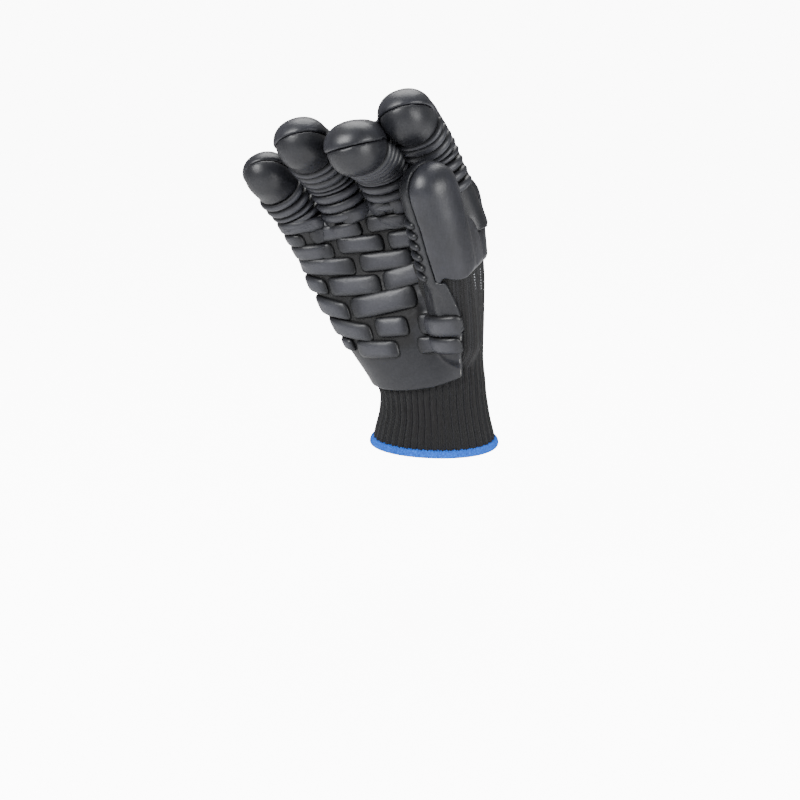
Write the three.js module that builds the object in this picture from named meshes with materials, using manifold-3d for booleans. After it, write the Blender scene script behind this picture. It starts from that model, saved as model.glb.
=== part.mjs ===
// A right-hand anti-vibration work glove, in the half-closed pose of a worn glove.
// A knitted glove body, a moulded rubber palm with brick pads and a ribbed front on each finger, a
// smooth dipped rubber back with a hood over each finger, a bound cuff hem and a plain sewn-in label.
// Millimetres. The origin is the middle of the cuff's open end, +Z runs up the cuff to the hand,
// the palm faces -Y and the thumb is on the +X side.
import * as THREE from "three";
import { mergeVertices } from "three/addons/utils/BufferGeometryUtils.js";
import Module from "manifold-3d";

const wasm = await Module();
wasm.setup();

// Main sizes of the knitted body, measured on its outer face.
const cuffLength = 28; // open end of the hem to the narrowest part of the wrist
const palmLength = 121; // narrowest part of the wrist to the webs between the fingers
const hemWidth = 76;
const hemDepth = 60;
const wristWidth = 65;
const wristDepth = 50;
const palmWidth = 108;
const knuckleDepth = 28;
const fingerLength = 106; // knuckle to tip of the middle finger
const fingerWidth = 24;
const fingerDepth = 23;
const tipRound = 13; // length over which a fingertip rounds off
const handLean = 16; // degrees that the hand leans to the little finger's side
const wristBend = 14; // half the length of the bend at the wrist

// Walls and reliefs.
const gap = 0.3; // between neighbouring pieces
const knitWall = 1.8;
const backWall = 2.0; // dipped rubber on the back
const palmWall = 2.6; // moulded rubber in its grooves
const padHeight = 2.8; // brick pads above the grooves
const ribHeight = 2.2; // finger ribs above the grooves
const capBulge = 1.8; // how far the thick fingertip caps swell at the sides

// The moulded palm's layout.
const mouldingStart = 13; // wrist to the moulding's lower edge
const brickHeight = 9.2;
const brickEdge = 1.6; // chamfer at the top of a brick
const brickSink = 4; // how deep a brick reaches into the wall, before the hollow is cut out
const brickStep = 16; // at most, between a brick's sections
const ribPitch = 7;
const ribCrest = 0.5; // a rib's crest, as a share of the pitch
const ribsFrom = 13; // knuckle to the first rib of a finger
const capLength = 25; // smooth cap at each fingertip
const heelLength = 34; // how far up the thumb the moulded ball of the thumb reaches

// The dipped back ends along a slanting line across the back of the hand.
const backEdge = 55; // wrist to that line, at the middle of the hand
const backEdgeSlope = 22; // degrees that it climbs towards the thumb
const knitLap = 0.84; // share of the palm that the knitted body reaches up, under the rubber
const fingerFrom = 3; // web to the lower end of a finger's rubber front and of its hood
const contactWall = 1.4; // least rubber where two fingers press on each other

// Hem and label.
const hemHeight = 5;
const hemWall = 1.3;
const labelWidth = 34;
const labelHeight = 25;
const labelWall = 0.7;
const labelLift = 2.0; // the label's free end stands off the cuff
const labelTurn = 62; // degrees from the thumb side towards the back of the hand

// Resolution.
const armSides = 24;
const fingerSides = 12;
const ringPitch = 14; // at most, between the rings of cuff and palm
const ringsApart = 0.7; // at least, between two rings
const walkStep = 1; // at most, between the points by which a bent centreline is followed
const overrun = 1; // how far a cut runs on past what it cuts
const meshTolerance = 0.01;

// One row for each section of the cuff. at: share of the cuff, from the open end. flare: 1 as wide
// as the hem, 0 as narrow as the wrist. power: 2 is an ellipse, more is squarer.
const cuffRows = [
  { at: 0.0, flare: 1.0, power: 2.1 },
  { at: 0.35, flare: 0.62, power: 2.1 },
  { at: 0.7, flare: 0.18, power: 2.1 },
];

// One row for each section of the palm. at: share of the palm, from the wrist. width: 0 as the
// wrist, 1 as the palm. depth: 0 as the wrist, 1 as the knuckles. front: the palm side's share of
// the depth. shift: share of the palm's width towards the thumb.
const palmRows = [
  { at: 0.0, width: 0.0, depth: 0.0, front: 0.5, shift: 0.0, power: 2.1 },
  { at: 0.14, width: 0.02, depth: -0.02, front: 0.51, shift: 0.024, power: 2.2 },
  { at: 0.34, width: 0.36, depth: 0.1, front: 0.5, shift: 0.024, power: 2.3 },
  { at: 0.55, width: 0.72, depth: 0.42, front: 0.48, shift: 0.02, power: 2.5 },
  { at: 0.75, width: 0.94, depth: 0.8, front: 0.45, shift: 0.02, power: 2.6 },
  { at: 0.88, width: 1.0, depth: 1.0, front: 0.49, shift: 0.03, power: 2.6 },
  { at: 0.95, width: 0.99, depth: 1.14, front: 0.54, shift: 0.035, power: 2.5 },
  { at: 1.0, width: 0.88, depth: 1.5, front: 0.64, shift: 0.04, power: 2.3 },
];

// One row for each digit. along, across, out: its knuckle, as shares of the palm's length, width
// and the knuckles' depth. splay: degrees towards the thumb. curls: degrees at the three joints.
// length, wide, deep: shares of the middle finger's. face: which way its palm side turns, in
// degrees from facing with the palm towards the little finger.
const digits = [
  { name: "index", along: 0.848, across: 0.42, out: 0.06, splay: -3, curls: [20, 27, 24], length: 0.905, wide: 1.0, deep: 1.0 },
  { name: "middle", along: 0.893, across: 0.14, out: 0.0, splay: 1, curls: [37, 34, 16], length: 1.0, wide: 1.04, deep: 1.02 },
  { name: "ring", along: 0.875, across: -0.12, out: 0.0, splay: -3, curls: [26, 27, 16], length: 0.92, wide: 0.96, deep: 0.98 },
  { name: "little", along: 0.795, across: -0.36, out: 0.0, splay: -9, curls: [18, 22, 16], length: 0.785, wide: 0.88, deep: 0.92 },
];
const thumb = {
  name: "thumb", along: 0.268, across: 0.28, out: 0.6, splay: 11, rise: 20, face: 127,
  curls: [0, 5, 5], length: 1.05, wide: 1.14, deep: 1.12, rootLength: 11, rootTaper: 0.55,
};

// One row for each section of the web between thumb and palm. at: share of the palm. reach: 1 goes
// all the way from the thumb's middle to the palm's side. thick: share of the thumb's depth.
const webRows = [
  { at: 0.27, reach: 1.0, thick: 0.9 },
  { at: 0.46, reach: 1.0, thick: 0.86 },
  { at: 0.64, reach: 1.0, thick: 0.76 },
  { at: 0.74, reach: 0.92, thick: 0.66 },
  { at: 0.82, reach: 0.66, thick: 0.56 },
  { at: 0.88, reach: 0.34, thick: 0.5 },
];
const boneShares = [0.47, 0.265, 0.265]; // the three bones of a digit
const bendLength = 9; // half the length over which a joint bends
const rootLength = 8; // how far a finger reaches back into the palm

// One row for each brick, from the wrist up. at: share of the palm. from and to: shares of half
// the palm's width, thumb side positive. tilt: how far it climbs towards the thumb, in degrees.
const brickRows = [
  { at: 0.344, from: -0.54, to: -0.1, tilt: -13 },
  { at: 0.306, from: 0.2, to: 0.56, tilt: -14 },
  { at: 0.455, from: -0.64, to: -0.35, tilt: -18 },
  { at: 0.43, from: -0.29, to: 0.06, tilt: -5 },
  { at: 0.4, from: 0.25, to: 0.62, tilt: -16 },
  { at: 0.576, from: -0.72, to: -0.54, tilt: -20 },
  { at: 0.545, from: -0.47, to: 0.24, tilt: -2 },
  { at: 0.705, from: -0.82, to: -0.73, tilt: -20 },
  { at: 0.655, from: -0.66, to: -0.11, tilt: -10 },
  { at: 0.643, from: -0.04, to: 0.4, tilt: 2 },
  { at: 0.779, from: -0.84, to: -0.32, tilt: -12 },
  { at: 0.741, from: -0.25, to: 0.3, tilt: -5 },
  { at: 0.735, from: 0.37, to: 0.5, tilt: 0 },
  { at: 0.875, from: -0.92, to: -0.52, tilt: -12 },
  { at: 0.842, from: -0.45, to: 0.06, tilt: -9 },
  { at: 0.826, from: 0.13, to: 0.48, tilt: -3 },
  { at: 0.943, from: -0.68, to: -0.15, tilt: -3 },
  { at: 0.92, from: -0.07, to: 0.36, tilt: -3 },
  { at: 0.915, from: 0.44, to: 0.6, tilt: 0 },
];

// The moulding's edge beside the thumb. at: share of the palm. across: share of half its width.
const thumbSideEdge = [
  { at: -0.1, across: 0.44 },
  { at: 0.12, across: 0.48 },
  { at: 0.25, across: 0.62 },
  { at: 0.4, across: 0.7 },
  { at: 0.84, across: 0.72 },
];

const radians = (degrees) => THREE.MathUtils.degToRad(degrees);
const mix = (a, b, share) => a + (b - a) * share;
const smooth = (x) => THREE.MathUtils.smoothstep(x, 0, 1);

// A smooth value between the rows of a table.
function between(rows, at, column) {
  const last = rows.length - 1;
  if (at <= rows[0].at) return rows[0][column];
  if (at >= rows[last].at) return rows[last][column];
  const i = rows.findIndex((row) => row.at > at) - 1;
  const slope = (k) => {
    const a = rows[Math.max(k - 1, 0)];
    const b = rows[Math.min(k + 1, last)];
    return (b[column] - a[column]) / (b.at - a.at);
  };
  const span = rows[i + 1].at - rows[i].at;
  const t = (at - rows[i].at) / span;
  const rise = rows[i + 1][column] - rows[i][column];
  const bend = t * (1 - t) * ((1 - t) * (slope(i) * span - rise) - t * (slope(i + 1) * span - rise));
  return rows[i][column] + rise * t + bend;
}

// A point from a frame's origin: across along its v, out along its n, up along its u.
function place(frame, across, out, up = 0) {
  return frame.origin.clone()
    .addScaledVector(frame.v, across)
    .addScaledVector(frame.n, out)
    .addScaledVector(frame.u, up);
}

// The centreline of cuff and palm: straight up, then leaning to the little finger's side.
function armFrame(along) {
  const leanAt = (s) => radians(handLean) * smooth((s - cuffLength + wristBend) / (2 * wristBend));
  const steps = Math.max(1, Math.ceil(Math.abs(along) / walkStep));
  const step = along / steps;
  const origin = new THREE.Vector3();
  for (let k = 0; k < steps; k++) {
    const lean = leanAt((k + 0.5) * step);
    origin.x -= Math.sin(lean) * step;
    origin.z += Math.cos(lean) * step;
  }
  const lean = leanAt(along);
  return {
    origin,
    u: new THREE.Vector3(-Math.sin(lean), 0, Math.cos(lean)),
    v: new THREE.Vector3(Math.cos(lean), 0, Math.sin(lean)),
    n: new THREE.Vector3(0, -1, 0),
  };
}

// The palm's own straight frame, whose u is measured from the wrist.
const hand = armFrame(cuffLength + wristBend);
hand.origin.addScaledVector(hand.u, -wristBend);

// Half width, palm side and back side of the knitted body, at a distance from the hem.
function armSection(along) {
  if (along < cuffLength) {
    const at = along / cuffLength;
    const rows = [...cuffRows, { at: 1, flare: 0, power: palmRows[0].power }];
    const flare = between(rows, at, "flare");
    const deep = mix(wristDepth, hemDepth, flare) / 2;
    return { wide: mix(wristWidth, hemWidth, flare) / 2, front: deep, back: deep, shift: 0, power: between(rows, at, "power") };
  }
  const at = (along - cuffLength) / palmLength;
  const deep = mix(wristDepth, knuckleDepth, between(palmRows, at, "depth"));
  const front = between(palmRows, at, "front");
  return {
    wide: mix(wristWidth, palmWidth, between(palmRows, at, "width")) / 2,
    front: deep * front,
    back: deep * (1 - front),
    shift: palmWidth * between(palmRows, at, "shift"),
    power: between(palmRows, at, "power"),
  };
}

// A finger's frame at a distance from its knuckle: u along it, v across it, n to its palm side.
function digitFrame(digit, along) {
  const length = fingerLength * digit.length;
  const joints = [0, boneShares[0] * length, (boneShares[0] + boneShares[1]) * length];
  const curlAt = (s) => radians(digit.curls.reduce(
    (sum, curl, k) => sum + curl * smooth((s - joints[k] + bendLength) / (2 * bendLength)), 0));
  const splay = radians(digit.splay);
  const u = hand.u.clone().multiplyScalar(Math.cos(splay)).addScaledVector(hand.v, Math.sin(splay));
  const v = hand.v.clone().multiplyScalar(Math.cos(splay)).addScaledVector(hand.u, -Math.sin(splay));
  const n = hand.n.clone();
  if (digit.rise) {
    u.applyAxisAngle(v, radians(digit.rise));
    n.applyAxisAngle(v, radians(digit.rise));
    v.applyAxisAngle(u, -radians(digit.face));
    n.applyAxisAngle(u, -radians(digit.face));
  }
  const origin = place(hand, digit.across * palmWidth, digit.out * knuckleDepth, digit.along * palmLength);
  const steps = Math.max(1, Math.ceil(Math.abs(along) / walkStep));
  const step = along / steps;
  const turned = (curl) => u.clone().multiplyScalar(Math.cos(curl)).addScaledVector(n, Math.sin(curl));
  for (let k = 0; k < steps; k++) origin.addScaledVector(turned(curlAt((k + 0.5) * step)), step);
  const curl = curlAt(along);
  return {
    origin, v, u: turned(curl),
    n: n.clone().multiplyScalar(Math.cos(curl)).addScaledVector(u, -Math.sin(curl)),
  };
}

// Points round a section, from angle `from` to `to`; 0 is across, 90 degrees is the palm side.
// grow gives how much the side, front and back stand out; seam holds the flat side off the middle.
function arc(frame, section, grow, from, to, steps, closed) {
  const points = [];
  for (let k = 0; k < (closed ? steps : steps + 1); k++) {
    const angle = mix(from, to, k / steps);
    const c = Math.cos(angle);
    const s = Math.sin(angle);
    const bend = 2 / section.power;
    const palmSide = s >= 0;
    const side = (section.wide + grow.side) * (section.close ?? 1);
    const deep = palmSide
      ? (section.front + grow.front) * (section.close ?? 1) + (grow.relief ?? 0) * Math.min(1, 2.4 * s)
      : (section.back + grow.back) * (section.close ?? 1);
    points.push(place(frame,
      section.shift + Math.sign(c) * Math.abs(c) ** bend * side,
      Math.sign(s) * Math.abs(s) ** bend * deep + (grow.seam ?? 0)));
  }
  return points;
}

// A closed solid through rings of equally many points, with a fan at each end.
function loft(rings) {
  const sides = rings[0].length;
  const middles = [rings[0], rings[rings.length - 1]].map((ring) =>
    ring.reduce((sum, p) => sum.add(p), new THREE.Vector3()).divideScalar(sides));
  const points = [...rings.flat(), ...middles];
  const faces = [];
  for (let i = 0; i + 1 < rings.length; i++) {
    for (let k = 0; k < sides; k++) {
      const a = i * sides + k;
      const b = i * sides + ((k + 1) % sides);
      faces.push(a, b, b + sides, a, b + sides, a + sides);
    }
  }
  const end = (rings.length - 1) * sides;
  for (let k = 0; k < sides; k++) {
    const next = (k + 1) % sides;
    faces.push(next, k, points.length - 2, end + k, end + next, points.length - 1);
  }
  const geometry = new THREE.BufferGeometry().setFromPoints(points);
  geometry.setIndex(faces);
  return solid(geometry);
}

// A three.js geometry as a solid that can be joined and cut. A loft that came out inside out is turned.
function solid(geometry) {
  geometry.deleteAttribute("normal");
  geometry.deleteAttribute("uv");
  const merged = mergeVertices(geometry, 1e-4);
  const make = (index) => new wasm.Manifold(new wasm.Mesh({
    numProp: 3,
    vertProperties: new Float32Array(merged.attributes.position.array),
    triVerts: new Uint32Array(index),
  }));
  const made = make(merged.index.array);
  return made.volume() > 0 ? made : make(Array.from(merged.index.array).reverse());
}

const join = (solids) => solids.reduce((sum, next) => sum.add(next));

// The biggest body of a solid, without the slivers that cuts leave on it and beside it.
const biggest = (made) => made.decompose().reduce((a, b) => (b.volume() > a.volume() ? b : a));
const tidied = (made) => biggest(biggest(made).simplify(meshTolerance));

function geometryOf(made) {
  const mesh = made.getMesh();
  const geometry = new THREE.BufferGeometry();
  geometry.setAttribute("position", new THREE.BufferAttribute(new Float32Array(mesh.vertProperties), 3));
  geometry.setIndex(new THREE.BufferAttribute(new Uint32Array(mesh.triVerts), 1));
  geometry.computeVertexNormals();
  return geometry;
}

const evenly = (from, to, most) => {
  const count = Math.max(1, Math.ceil((to - from) / most));
  return Array.from({ length: count + 1 }, (_, k) => mix(from, to, k / count));
};

// Places of the rings along cuff and palm, and along a digit. Neighbouring skins share them, so
// that they keep their distance.
const rowPlaces = [
  ...cuffRows.map((row) => row.at * cuffLength),
  ...palmRows.map((row) => cuffLength + row.at * palmLength),
];
const armPlaces = rowPlaces.slice(1).flatMap((place, k) => evenly(rowPlaces[k], place, ringPitch).slice(1));

function digitPlaces(digit) {
  const length = fingerLength * digit.length;
  const capFrom = length - capLength;
  const ribs = Math.floor((capFrom - ribsFrom) / ribPitch);
  return [...evenly(capFrom - ribs * ribPitch, capFrom, ribPitch * 1.001), length - tipRound];
}

const placesBetween = (places, from, to) =>
  [from, ...places.filter((at) => at > from + ringsApart && at < to - ringsApart), to];

const whole = { from: 0, to: 2 * Math.PI, steps: fingerSides, closed: true };
const palmHalf = { from: 0, to: Math.PI, steps: fingerSides / 2, closed: false };
const backHalf = { from: Math.PI, to: 2 * Math.PI, steps: fingerSides / 2, closed: false };

// Cuff and palm, whole or as one half, from one distance up the arm to another.
function armLoft(grow, from, to, half = { ...whole, steps: armSides }) {
  const steps = half.closed ? armSides : armSides / 2;
  return loft(placesBetween(armPlaces, from, to).map((along) =>
    arc(armFrame(along), armSection(along), grow, half.from, half.to, steps, half.closed)));
}

// A digit's section at a distance from its knuckle, before its tip rounds off.
function digitSection(digit, along) {
  const at = along / (fingerLength * digit.length);
  const joint = 1 - 0.05 * smooth((at - 0.1) / 0.25) + 0.03 * smooth((at - 0.4) / 0.2) - 0.05 * smooth((at - 0.65) / 0.2);
  return {
    wide: (fingerWidth * digit.wide * joint) / 2,
    front: (fingerDepth * digit.deep * joint) / 2,
    back: (fingerDepth * digit.deep * joint) / 2,
    shift: 0,
    power: 2.2,
  };
}

// A digit, whole or as one half. A ribbed one has a band standing out of its palm side after every
// ring place, and an envelope stands out all along.
function digitLoft(digit, grow, half = whole, face = "plain", until = Infinity) {
  const length = fingerLength * digit.length;
  const shaft = length - tipRound;
  const capFrom = length - capLength;
  const rings = [];
  const add = (along, close, relief) => {
    const swell = capBulge * smooth((along - capFrom + ribPitch) / ribPitch) * (grow.cap ?? 0);
    const section = { ...digitSection(digit, Math.min(along, shaft)), close };
    const grown = { ...grow, side: grow.side + swell, relief: face === "plain" ? 0 : ribHeight * relief };
    rings.push(arc(digitFrame(digit, along), section, grown, half.from, half.to, half.steps, half.closed));
  };
  const low = face === "envelope" ? 1.1 : 0;
  const root = -(digit.rootLength ?? rootLength) - grow.front;
  for (const along of placesBetween(digitPlaces(digit), root, Math.min(shaft, until))) {
    add(along, along === root ? digit.rootTaper ?? 1 : 1, along === root ? 0 : along === shaft ? 1.1 : low);
    if (face !== "ribbed" || along === root || along === shaft) continue;
    add(along + ribCrest * ribPitch, 1, 1);
  }
  if (until >= shaft) {
    for (const turn of [33, 60, 82]) {
      const close = Math.cos(radians(turn));
      add(shaft + (tipRound + grow.front) * Math.sin(radians(turn)), close, 1.1 * close);
    }
  }
  return loft(rings);
}

// The web between thumb and palm, whole or as one half, up to one of its rows.
function webLoft(grow, half = whole, rows = webRows) {
  const start = digitFrame(thumb, 0);
  const climb = start.u.dot(hand.u);
  return loft(rows.map((row) => {
    const up = row.at * palmLength;
    const middle = start.origin.clone().addScaledVector(start.u, (up - thumb.along * palmLength) / climb);
    const deep = (row.thick * thumb.deep * fingerDepth) / 2;
    const palm = armSection(cuffLength + up);
    const v = middle.clone().sub(place(hand, palm.shift + palm.wide - deep, 0, up));
    const length = v.length() * row.reach;
    v.normalize();
    const frame = {
      v,
      n: v.clone().cross(hand.u).multiplyScalar(v.clone().cross(hand.u).dot(hand.v) > 0 ? -1 : 1),
      u: hand.u,
      origin: middle.addScaledVector(v, -length / 2),
    };
    const section = { wide: length / 2 + deep * 0.5, front: deep, back: deep, shift: 0, power: 2.4 };
    return arc(frame, section, grow, half.from, half.to, half.steps, half.closed);
  }));
}

const inHand = (made) => made.transform(new THREE.Matrix4()
  .makeBasis(hand.v, hand.n, hand.u)
  .setPosition(hand.origin).toArray());

// A flat shape in the palm's plane, cut right through the hand.
function throughHand(outline) {
  const reach = palmWidth * 2;
  const shape = new THREE.Shape(outline.map(([across, up]) => new THREE.Vector2(across, up)));
  const geometry = new THREE.ExtrudeGeometry(shape, { depth: reach, bevelEnabled: false });
  geometry.translate(0, 0, -reach / 2).rotateX(Math.PI / 2);
  return inHand(solid(geometry));
}

// What lies beyond the lines to a finger's neighbours, from the webs on, where fingers press on
// each other. clear moves the lines towards the finger.
function besideFinger(digit, clear) {
  const low = palmLength + overrun;
  const high = palmLength + fingerLength * 2;
  const number = digits.indexOf(digit);
  return join([digits[number - 1], digits[number + 1]].filter(Boolean).map((neighbour) => {
    const share = digit.wide / (digit.wide + neighbour.wide);
    const towards = Math.sign(neighbour.across - digit.across);
    const slope = Math.tan(radians((digit.splay + neighbour.splay) / 2));
    const foot = mix(digit.along, neighbour.along, share) * palmLength;
    const line = (up) => mix(digit.across, neighbour.across, share) * palmWidth + slope * (up - foot) - towards * clear;
    const far = towards * palmWidth * 2;
    return throughHand([[line(low), low], [line(high), high], [far, high], [far, low]]);
  }));
}

// The fingers, each on its own side of the lines to its neighbours.
const fingersAs = (shape, clear) => digits.map((digit) => shape(digit).subtract(besideFinger(digit, clear)));

// Everything inside a skin that lies `grow` outside the knitted body's outer face.
function handInside(grow, below) {
  const even = { side: grow, front: grow, back: grow };
  return join([
    armLoft(even, -below, cuffLength + palmLength * palmRows[palmRows.length - 2].at),
    webLoft(even),
    digitLoft(thumb, even),
    ...fingersAs((digit) => digitLoft(digit, even), gap / 2 + contactWall),
  ]);
}

// The part of the thumb's side that the moulding leaves to the other two. grow makes it larger.
function thumbWindow(grow) {
  const far = palmWidth * 1.5;
  const top = thumbSideEdge[thumbSideEdge.length - 1].at * palmLength + grow;
  const edge = thumbSideEdge.map(({ at, across }) => [
    (across * palmWidth) / 2 - grow, Math.min(at * palmLength, top),
  ]);
  return throughHand([...edge, [far, top], [far, edge[0][1]]]);
}

// How far the moulding stands out of the knitted body, and what lies beyond a line across the hand.
const mouldingGrow = (clear) => ({
  side: gap + backWall + clear, front: gap + palmWall + clear, back: gap + palmWall + clear, cap: 1, seam: gap / 2 - clear,
});
const fingersBegin = palmLength + fingerFrom;
const beyondHand = (from) => throughHand([
  [-palmWidth * 2, from], [palmWidth * 2, from],
  [palmWidth * 2, from + fingerLength * 2], [-palmWidth * 2, from + fingerLength * 2],
]);

// The moulding without its bricks. clear makes it larger, to cut room for it elsewhere.
function mouldingSkin(clear, face, ribbed = [thumb], fingerPart = (made) => made) {
  const grow = mouldingGrow(clear);
  const base = mouldingStart - clear;
  const heel = digitLoft(thumb, { ...grow, seam: 0, cap: 0 }, whole, "plain", heelTop + clear);
  const belowHeel = throughHand([[-palmWidth, base], [palmWidth, base], [palmWidth, -palmWidth], [-palmWidth, -palmWidth]]);
  const behind = armLoft({ side: palmWidth, front: 0, back: palmWidth, seam: gap / 2 - clear },
    cuffLength + wristBend, cuffLength + palmLength, backHalf);
  return join([
    armLoft(grow, cuffLength + base, cuffLength + palmLength + clear, palmHalf),
    heel.subtract(behind),
  ]).subtract(thumbWindow(-clear)).subtract(belowHeel)
    .add(webLoft({ ...grow, cap: 0 }, palmHalf).subtract(behind))
    .add(join([
      ...ribbed.map((digit) => digitLoft(digit, grow, palmHalf, face)),
      ...fingersAs((digit) => fingerPart(digitLoft(digit, grow, palmHalf, face)), gap / 2 - clear),
    ]));
}

// A pillow-shaped pad on a face, found by looking at that face from in front of the palm.
function brick(face, row, clear) {
  const half = palmWidth / 2;
  const from = row.from - clear / half;
  const to = row.to + clear / half;
  const tall = brickHeight / 2 + clear;
  const look = new THREE.Raycaster();
  const foot = (across, up) => {
    look.set(place(hand, across, palmWidth, up), hand.n.clone().negate());
    const hit = look.intersectObject(face)[0];
    return hit ? hit.point : null;
  };
  const rings = [];
  const stations = Math.max(2, Math.ceil(((to - from) * half) / brickStep));
  const inset = [0, brickEdge / ((to - from) * half)];
  const shares = [inset[0], inset[1], ...Array.from({ length: stations - 1 }, (_, k) => (k + 1) / stations), 1 - inset[1], 1];
  for (const share of shares) {
    const across = mix(from, to, share) * half;
    const up = row.at * palmLength + Math.tan(radians(row.tilt)) * (across - mix(from, to, 0.5) * half);
    const low = foot(across, up - tall);
    const high = foot(across, up + tall);
    const aside = foot(across + walkStep, up);
    if (!low || !high || !aside) return null;
    const run = high.clone().sub(low).normalize();
    const out = run.clone().cross(aside.clone().sub(low).addScaledVector(run, -aside.clone().sub(low).dot(run)));
    out.normalize();
    if (out.dot(hand.n) < 0) out.negate();
    const top = clear + (share === 0 || share === 1 ? padHeight * 0.35 : padHeight);
    const sink = brickSink + clear;
    rings.push([
      low.clone().addScaledVector(out, -sink),
      low.clone().addScaledVector(out, top * 0.45),
      low.clone().addScaledVector(run, brickEdge).addScaledVector(out, top),
      high.clone().addScaledVector(run, -brickEdge).addScaledVector(out, top),
      high.clone().addScaledVector(out, top * 0.45),
      high.clone().addScaledVector(out, -sink),
    ]);
  }
  return loft(rings);
}

// A slanting half space that keeps the dipped back above its edge.
function belowBackEdge() {
  const rise = Math.tan(radians(backEdgeSlope)) * palmWidth;
  return throughHand([
    [-palmWidth, backEdge - rise], [palmWidth, backEdge + rise],
    [palmWidth, -palmWidth], [-palmWidth, -palmWidth],
  ]);
}

// The ends of the knitted body under the rubber, and how far up the thumb the moulded ball of the
// thumb goes right round it, all at ring places.
const placeNear = (places, wanted) => places.reduce((a, b) => (Math.abs(b - wanted) < Math.abs(a - wanted) ? b : a));
const knitTop = placeNear(armPlaces, cuffLength + palmLength * knitLap);
const thumbTop = placeNear(digitPlaces(thumb), boneShares[0] * fingerLength);
const heelTop = placeNear(digitPlaces(thumb), heelLength);
const knitBottom = hemWall + gap;
const underRubber = handInside(gap, overrun);

function knittedBody() {
  const outside = { side: 0, front: 0, back: 0 };
  const inside = { side: -knitWall, front: -knitWall, back: -knitWall };
  return armLoft(outside, knitBottom, knitTop)
    .add(digitLoft(thumb, outside, whole, "plain", thumbTop))
    .add(webLoft(outside, whole, webRows.slice(0, 3)))
    .subtract(armLoft(inside, knitBottom - overrun, knitTop + overrun))
    .subtract(digitLoft(thumb, inside, whole, "plain", thumbTop + overrun))
    .subtract(webLoft(inside, whole, webRows.slice(0, 4)));
}

const smoothFace = new THREE.Mesh(
  geometryOf(mouldingSkin(0, "plain", [])), new THREE.MeshBasicMaterial({ side: THREE.DoubleSide }));

const bricks = (clear) => join(brickRows.map((row) => brick(smoothFace, row, clear)).filter(Boolean));

const mouldedPalm = () => mouldingSkin(0, "ribbed", [thumb], (made) => made.subtract(beyondHand(fingersBegin)))
  .add(bricks(0)).subtract(underRubber);

// The ribbed rubber over a finger's front.
const fingerFront = (digit) => digitLoft(digit, mouldingGrow(0), palmHalf, "ribbed")
  .subtract(besideFinger(digit, gap / 2))
  .intersect(beyondHand(fingersBegin + gap))
  .subtract(underRubber);

// The dipped rubber lies `backSkin` outside the knitted body, and leaves room for the moulding.
const backThick = gap + backWall;
const backSkin = { side: backThick, front: backThick, back: backThick, cap: 1, seam: -gap * 0.6 };
const mouldingRoom = mouldingSkin(gap, "envelope").add(bricks(gap)).add(underRubber);

function dippedBack() {
  const sideWall = armLoft(backSkin, cuffLength + wristBend, cuffLength + palmLength)
    .intersect(thumbWindow(0));
  const roots = join(fingersAs((digit) => digitLoft(digit, backSkin, backHalf), gap / 2))
    .subtract(beyondHand(fingersBegin));
  return join([
    sideWall,
    webLoft(backSkin, backHalf),
    armLoft(backSkin, cuffLength + wristBend, cuffLength + palmLength, backHalf),
    digitLoft(thumb, backSkin, backHalf),
    roots,
  ]).subtract(mouldingRoom).subtract(belowBackEdge());
}

// The rubber over a finger's back and round the sides of its tip.
const hood = (digit) => digitLoft(digit, backSkin, backHalf)
  .subtract(besideFinger(digit, gap / 2))
  .intersect(beyondHand(fingersBegin + gap))
  .subtract(mouldingRoom);

// A binding folded over the knitted body's edge: a U-shaped section swept round the cuff.
function cuffHem() {
  const outer = gap + hemWall;
  const inner = -knitWall - gap - hemWall;
  const round = hemWall * 0.7;
  const profile = [
    [outer - round, 0], [outer, round], [outer, hemHeight], [gap, hemHeight], [gap, hemWall],
    [-knitWall - gap, hemWall], [-knitWall - gap, hemHeight], [inner, hemHeight], [inner, round], [inner + round, 0],
  ];
  const columns = profile.map(([out, up]) =>
    arc(armFrame(up), armSection(up), { side: out, front: out, back: out }, 0, 2 * Math.PI, armSides, true));
  const points = columns.flat();
  const faces = [];
  columns.forEach((_, i) => {
    const j = (i + 1) % columns.length;
    for (let k = 0; k < armSides; k++) {
      const next = (k + 1) % armSides;
      faces.push(i * armSides + k, i * armSides + next, j * armSides + next);
      faces.push(i * armSides + k, j * armSides + next, j * armSides + k);
    }
  });
  const geometry = new THREE.BufferGeometry().setFromPoints(points);
  geometry.setIndex(faces);
  return solid(geometry);
}

// A plain tab that leaves the hem and lies along the cuff.
function label() {
  const turn = labelWidth / ((hemWidth + hemDepth) / 4);
  const middle = -radians(labelTurn);
  const rings = evenly(0, 1, 0.25).map((share) => {
    const along = hemHeight + gap + labelHeight * share;
    const lift = gap + labelLift * share;
    const [inner, outer] = [lift, lift + labelWall].map((out) => arc(armFrame(along), armSection(along),
      { side: out, front: out, back: out }, middle - turn / 2, middle + turn / 2, 5, false));
    return [...inner, ...outer.reverse()];
  });
  return loft(rings).subtract(armLoft({ side: gap, front: gap, back: gap }, knitBottom, cuffLength * 2));
}

function piece(name, made, colour, roughness) {
  const material = new THREE.MeshStandardMaterial({ color: colour, roughness, metalness: 0, flatShading: true });
  const mesh = new THREE.Mesh(geometryOf(tidied(made)), material);
  mesh.name = name;
  return mesh;
}

const glove = new THREE.Group();
const cuff = new THREE.Group();
const coating = new THREE.Group();
cuff.add(
  piece("knitted_body", knittedBody(), 0x17181b, 0.95),
  piece("cuff_hem", cuffHem(), 0x1f8fe6, 0.9),
  piece("label", label(), 0xf1f2f3, 0.8),
);
coating.add(
  piece("moulded_palm", mouldedPalm(), 0x3a3c43, 0.55),
  piece("dipped_back", dippedBack(), 0x34363d, 0.5),
  ...digits.map((digit) => piece(`${digit.name}_front`, fingerFront(digit), 0x3a3c43, 0.55)),
  ...digits.map((digit) => piece(`${digit.name}_hood`, hood(digit), 0x34363d, 0.5)),
);
glove.add(cuff, coating);

export default glove;
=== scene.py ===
import math

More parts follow.
